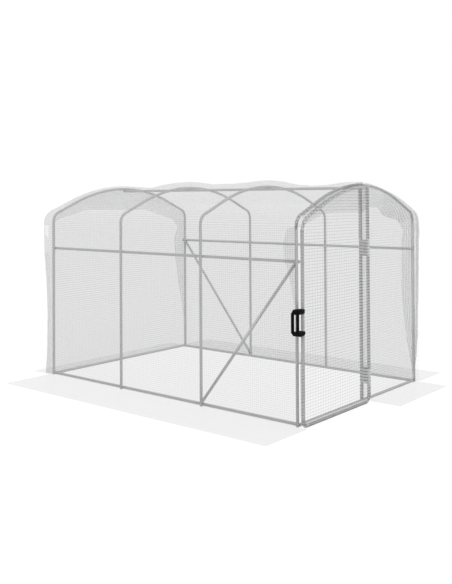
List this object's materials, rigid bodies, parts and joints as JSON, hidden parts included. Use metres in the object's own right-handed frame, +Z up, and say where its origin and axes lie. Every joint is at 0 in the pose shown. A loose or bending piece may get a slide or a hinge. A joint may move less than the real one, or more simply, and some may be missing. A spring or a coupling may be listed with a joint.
{
  "type": "polytunnel greenhouse",
  "caption": "Walk-in polytunnel greenhouse: steel tube hoops with rails and braces, a translucent film cover with ground flaps, and a half-width hinged door.",
  "frame": {"origin": "on the ground at the middle of the tunnel", "axes": "+Z up, +Y along the tunnel away from the door, +X across it"},
  "size_m": [3.0646, 3.6396, 1.905],
  "materials": {
    "steel_tube": "satin grey coating",
    "hinge_steel": "mid grey coating",
    "cover_film": "translucent film with a woven mesh",
    "handle_plastic": "black moulded plastic"
  },
  "bodies": {
    "tunnel": {"hoop_1_near_post": "steel_tube", "hoop_1_near_bow": "steel_tube", "hoop_1_far_bow": "steel_tube", "hoop_1_far_post": "steel_tube", "hoop_2_near_post": "steel_tube", "hoop_2_near_bow": "steel_tube", "hoop_2_far_bow": "steel_tube", "hoop_2_far_post": "steel_tube", "hoop_3_near_post": "steel_tube", "hoop_3_near_bow": "steel_tube", "hoop_3_far_bow": "steel_tube", "hoop_3_far_post": "steel_tube", "hoop_4_near_post": "steel_tube", "hoop_4_near_bow": "steel_tube", "hoop_4_far_bow": "steel_tube", "hoop_4_far_post": "steel_tube", "ridge_tube": "steel_tube", "near_waist_rail": "steel_tube", "far_waist_rail": "steel_tube", "near_base_rail": "steel_tube", "far_base_rail": "steel_tube", "back_base_rail": "steel_tube", "front_base_rail": "steel_tube", "near_brace": "steel_tube", "far_brace": "steel_tube", "centre_post": "steel_tube", "hinge_lower": "hinge_steel", "hinge_upper": "hinge_steel", "cover_near_side": "cover_film", "cover_far_side": "cover_film", "cover_roof": "cover_film", "cover_back_end": "cover_film", "cover_front_panel": "cover_film", "near_flap": "cover_film", "far_flap": "cover_film", "back_flap": "cover_film", "front_flap": "cover_film"},
    "door": {"door_stiles": "steel_tube", "door_arch": "steel_tube", "door_film": "cover_film", "door_handle": "handle_plastic"}
  },
  "joints": [
    {"name": "door_hinge", "type": "hinge", "parent": "tunnel", "child": "door", "pos_m": [0, -1.568, 0.8], "axis": [0, 0, 1], "range_deg": [0, 135]}
  ]
}
